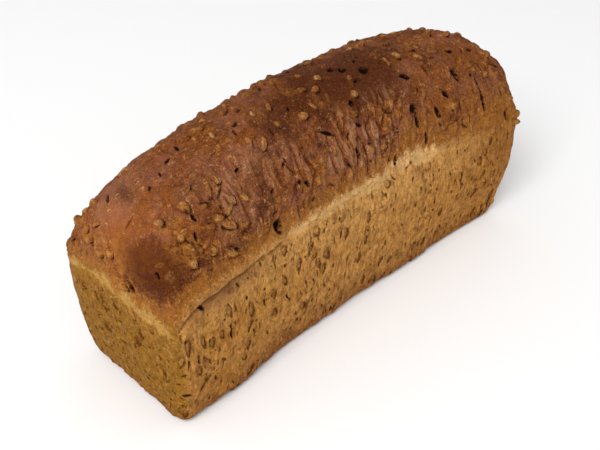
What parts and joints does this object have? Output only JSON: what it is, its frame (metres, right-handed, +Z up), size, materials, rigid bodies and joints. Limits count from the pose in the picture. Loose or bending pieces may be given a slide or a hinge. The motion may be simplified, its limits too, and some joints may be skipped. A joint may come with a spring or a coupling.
{
  "type": "tin loaf",
  "caption": "Long wholegrain loaf with straight tin-baked walls, a torn seam along the rim and a tall rounded crown, lying on its flat underside.",
  "frame": {"origin": "centre of the underside, on the surface that the loaf stands on", "axes": "+X along the loaf, +Y across it, +Z up through the crown"},
  "size_m": [0.283, 0.094, 0.1375],
  "materials": {
    "crust": "matte"
  },
  "bodies": {
    "root": {"loaf": "crust"}
  },
  "joints": []
}
